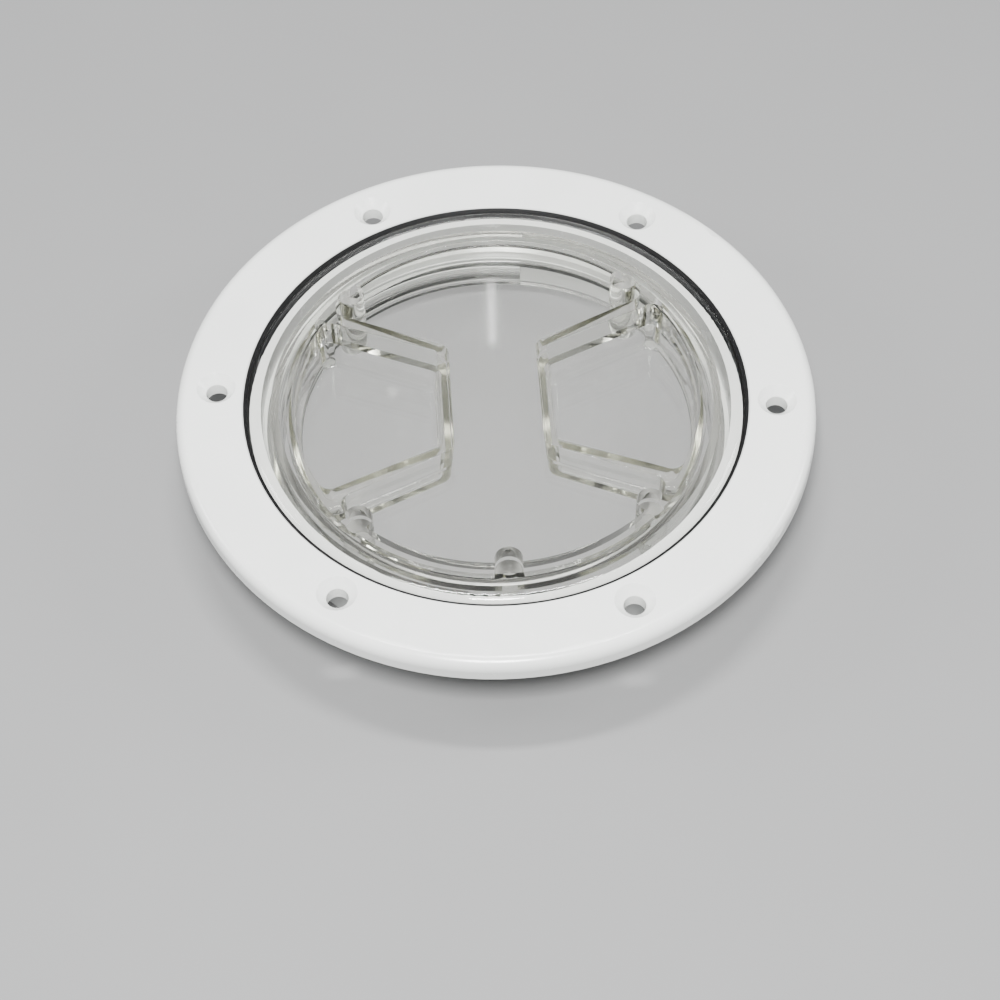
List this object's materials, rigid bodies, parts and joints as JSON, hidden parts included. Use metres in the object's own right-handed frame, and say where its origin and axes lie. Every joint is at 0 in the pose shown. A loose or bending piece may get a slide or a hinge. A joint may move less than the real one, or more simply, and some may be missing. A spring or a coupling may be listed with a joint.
{
  "type": "deck inspection plate",
  "caption": "Round screw-in deck inspection plate: white countersunk flange ring with threaded neck, O-ring seal and a clear moulded lid with two fan-shaped finger wells.",
  "frame": {"origin": "centre of the flange's underside, the face that lies on the deck, on the thread's centre line", "axes": "+Z is the thread's centre line, pointing up out of the deck; the two finger wells of the closed lid lie on +X and -X"},
  "size_m": [0.142, 0.142, 0.0215],
  "materials": {
    "white_plastic": "glossy injection-moulded white plastic",
    "clear_plastic": "clear injection-moulded plastic, polished",
    "black_rubber": "smooth black rubber cord"
  },
  "bodies": {
    "ring": {"mounting_ring": "white_plastic"},
    "seal": {"o_ring": "black_rubber"},
    "lid": {"clear_lid": "clear_plastic"}
  },
  "joints": [
    {"name": "lid_lift", "type": "slide", "parent": "ring", "child": "seal", "axis": [0, 0, 1], "range_m": [0, 0.0226]},
    {"name": "lid_turn", "type": "hinge", "parent": "seal", "child": "lid", "pos_m": [0, 0, 0], "axis": [0, 0, 1], "range_deg": [0, 1800]}
  ],
  "couplings": [
    {"joint": "lid_lift", "follows": "lid_turn", "m_per_rad": 0.0007162}
  ]
}
